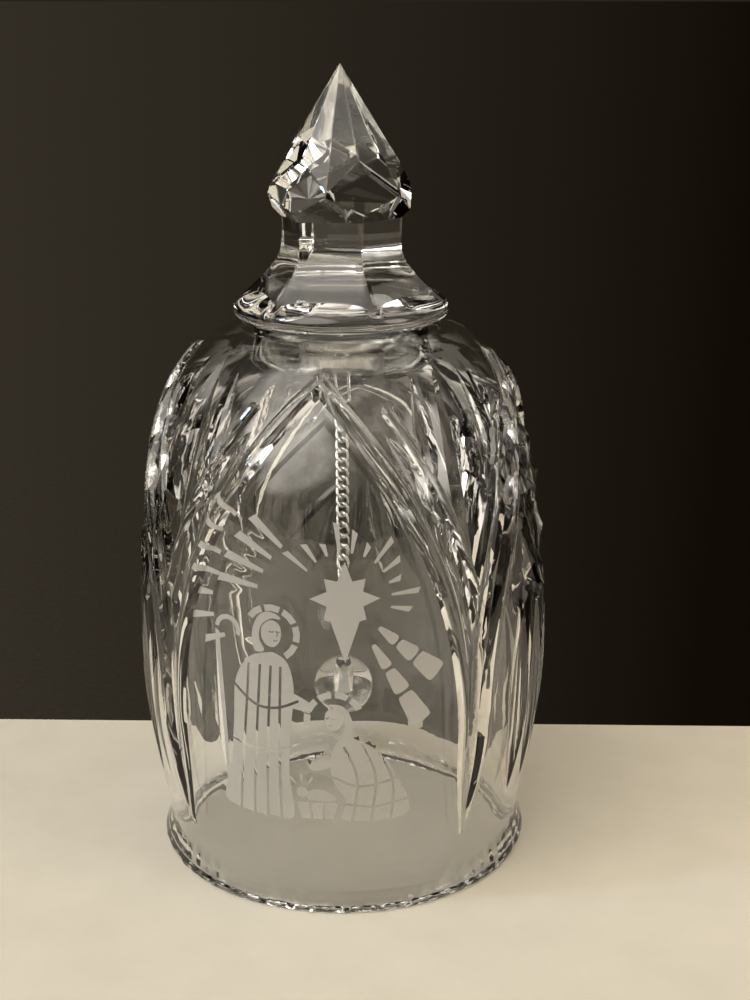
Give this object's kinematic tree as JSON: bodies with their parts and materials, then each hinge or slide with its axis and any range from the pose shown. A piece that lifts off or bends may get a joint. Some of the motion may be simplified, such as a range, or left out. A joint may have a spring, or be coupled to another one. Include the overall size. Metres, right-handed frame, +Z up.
{
  "type": "glass table bell",
  "caption": "Cut crystal dome bell with pointed arches, a faceted finial handle and a glass ball clapper on a fine chain.",
  "frame": {"origin": "on the bell's axis, in the flat plane of the rim that the bell stands on", "axes": "+Z up along the bell's axis to the tip of the finial; the etched panel faces -Y and +X is to the right when it is looked at"},
  "size_m": [0.0668, 0.0668, 0.127],
  "materials": {
    "crystal": "clear lead crystal, pressed and hand cut, polished, with one frosted etched panel",
    "ball_crystal": "clear polished crystal ball with a drilled hole",
    "adhesive": "thin clear glass cement",
    "pad_metal": "nickel coloured pressed metal cap, dulled",
    "chain_metal": "bright plated jewellery wire",
    "cement": "pale white glass cement"
  },
  "bodies": {
    "bell": {"bell_body": "crystal", "finial_bond": "adhesive", "finial": "crystal", "crown_pad": "pad_metal", "hanger_loop": "chain_metal"},
    "top_ring": {"top_ring": "chain_metal"},
    "chain_link_01": {"chain_link_01": "chain_metal"},
    "chain_link_02": {"chain_link_02": "chain_metal"},
    "chain_link_03": {"chain_link_03": "chain_metal"},
    "chain_link_04": {"chain_link_04": "chain_metal"},
    "chain_link_05": {"chain_link_05": "chain_metal"},
    "chain_link_06": {"chain_link_06": "chain_metal"},
    "chain_link_07": {"chain_link_07": "chain_metal"},
    "chain_link_08": {"chain_link_08": "chain_metal"},
    "chain_link_09": {"chain_link_09": "chain_metal"},
    "chain_link_10": {"chain_link_10": "chain_metal"},
    "chain_link_11": {"chain_link_11": "chain_metal"},
    "chain_link_12": {"chain_link_12": "chain_metal"},
    "chain_link_13": {"chain_link_13": "chain_metal"},
    "chain_link_14": {"chain_link_14": "chain_metal"},
    "chain_link_15": {"chain_link_15": "chain_metal"},
    "chain_link_16": {"chain_link_16": "chain_metal"},
    "chain_link_17": {"chain_link_17": "chain_metal"},
    "chain_link_18": {"chain_link_18": "chain_metal"},
    "chain_link_19": {"chain_link_19": "chain_metal"},
    "chain_link_20": {"chain_link_20": "chain_metal"},
    "chain_link_21": {"chain_link_21": "chain_metal"},
    "chain_link_22": {"chain_link_22": "chain_metal"},
    "chain_link_23": {"chain_link_23": "chain_metal"},
    "clapper": {"eye_pin": "chain_metal", "pin_cement": "cement", "clapper_ball": "ball_crystal"}
  },
  "joints": [
    {"name": "clapper_swing_front_back", "type": "hinge", "parent": "bell", "child": "top_ring", "pos_m": [0, 0, 0.0762], "axis": [1, 0, 0], "range_deg": [-13, 13]},
    {"name": "clapper_swing_side", "type": "hinge", "parent": "top_ring", "child": "chain_link_01", "pos_m": [0, 0, 0.0739], "axis": [0, 1, 0], "range_deg": [-13, 13]},
    {"name": "chain_link_02_bend", "type": "hinge", "parent": "chain_link_01", "child": "chain_link_02", "pos_m": [0, 0, 0.07212], "axis": [1, 0, 0], "range_deg": [-1.2, 1.2]},
    {"name": "chain_link_03_bend", "type": "hinge", "parent": "chain_link_02", "child": "chain_link_03", "pos_m": [0, 0, 0.07032], "axis": [0, 1, 0], "range_deg": [-1.2, 1.2]},
    {"name": "chain_link_04_bend", "type": "hinge", "parent": "chain_link_03", "child": "chain_link_04", "pos_m": [0, 0, 0.06853], "axis": [1, 0, 0], "range_deg": [-1.2, 1.2]},
    {"name": "chain_link_05_bend", "type": "hinge", "parent": "chain_link_04", "child": "chain_link_05", "pos_m": [0, 0, 0.06673], "axis": [0, 1, 0], "range_deg": [-1.2, 1.2]},
    {"name": "chain_link_06_bend", "type": "hinge", "parent": "chain_link_05", "child": "chain_link_06", "pos_m": [0, 0, 0.06492], "axis": [1, 0, 0], "range_deg": [-1.2, 1.2]},
    {"name": "chain_link_07_bend", "type": "hinge", "parent": "chain_link_06", "child": "chain_link_07", "pos_m": [0, 0, 0.06313], "axis": [0, 1, 0], "range_deg": [-1.2, 1.2]},
    {"name": "chain_link_08_bend", "type": "hinge", "parent": "chain_link_07", "child": "chain_link_08", "pos_m": [0, 0, 0.06132], "axis": [1, 0, 0], "range_deg": [-1.2, 1.2]},
    {"name": "chain_link_09_bend", "type": "hinge", "parent": "chain_link_08", "child": "chain_link_09", "pos_m": [0, 0, 0.05953], "axis": [0, 1, 0], "range_deg": [-1.2, 1.2]},
    {"name": "chain_link_10_bend", "type": "hinge", "parent": "chain_link_09", "child": "chain_link_10", "pos_m": [0, 0, 0.05772], "axis": [1, 0, 0], "range_deg": [-1.2, 1.2]},
    {"name": "chain_link_11_bend", "type": "hinge", "parent": "chain_link_10", "child": "chain_link_11", "pos_m": [0, 0, 0.05593], "axis": [0, 1, 0], "range_deg": [-1.2, 1.2]},
    {"name": "chain_link_12_bend", "type": "hinge", "parent": "chain_link_11", "child": "chain_link_12", "pos_m": [0, 0, 0.05412], "axis": [1, 0, 0], "range_deg": [-1.2, 1.2]},
    {"name": "chain_link_13_bend", "type": "hinge", "parent": "chain_link_12", "child": "chain_link_13", "pos_m": [0, 0, 0.05233], "axis": [0, 1, 0], "range_deg": [-1.2, 1.2]},
    {"name": "chain_link_14_bend", "type": "hinge", "parent": "chain_link_13", "child": "chain_link_14", "pos_m": [0, 0, 0.05053], "axis": [1, 0, 0], "range_deg": [-1.2, 1.2]},
    {"name": "chain_link_15_bend", "type": "hinge", "parent": "chain_link_14", "child": "chain_link_15", "pos_m": [0, 0, 0.04872], "axis": [0, 1, 0], "range_deg": [-1.2, 1.2]},
    {"name": "chain_link_16_bend", "type": "hinge", "parent": "chain_link_15", "child": "chain_link_16", "pos_m": [0, 0, 0.04693], "axis": [1, 0, 0], "range_deg": [-1.2, 1.2]},
    {"name": "chain_link_17_bend", "type": "hinge", "parent": "chain_link_16", "child": "chain_link_17", "pos_m": [0, 0, 0.04512], "axis": [0, 1, 0], "range_deg": [-1.2, 1.2]},
    {"name": "chain_link_18_bend", "type": "hinge", "parent": "chain_link_17", "child": "chain_link_18", "pos_m": [0, 0, 0.04333], "axis": [1, 0, 0], "range_deg": [-1.2, 1.2]},
    {"name": "chain_link_19_bend", "type": "hinge", "parent": "chain_link_18", "child": "chain_link_19", "pos_m": [0, 0, 0.04152], "axis": [0, 1, 0], "range_deg": [-1.2, 1.2]},
    {"name": "chain_link_20_bend", "type": "hinge", "parent": "chain_link_19", "child": "chain_link_20", "pos_m": [0, 0, 0.03973], "axis": [1, 0, 0], "range_deg": [-1.2, 1.2]},
    {"name": "chain_link_21_bend", "type": "hinge", "parent": "chain_link_20", "child": "chain_link_21", "pos_m": [0, 0, 0.03793], "axis": [0, 1, 0], "range_deg": [-1.2, 1.2]},
    {"name": "chain_link_22_bend", "type": "hinge", "parent": "chain_link_21", "child": "chain_link_22", "pos_m": [0, 0, 0.03612], "axis": [1, 0, 0], "range_deg": [-1.2, 1.2]},
    {"name": "chain_link_23_bend", "type": "hinge", "parent": "chain_link_22", "child": "chain_link_23", "pos_m": [0, 0, 0.03433], "axis": [0, 1, 0], "range_deg": [-1.2, 1.2]},
    {"name": "clapper_ball_bend", "type": "hinge", "parent": "chain_link_23", "child": "clapper", "pos_m": [0, 0, 0.03252], "axis": [1, 0, 0], "range_deg": [-1.2, 1.2]}
  ]
}
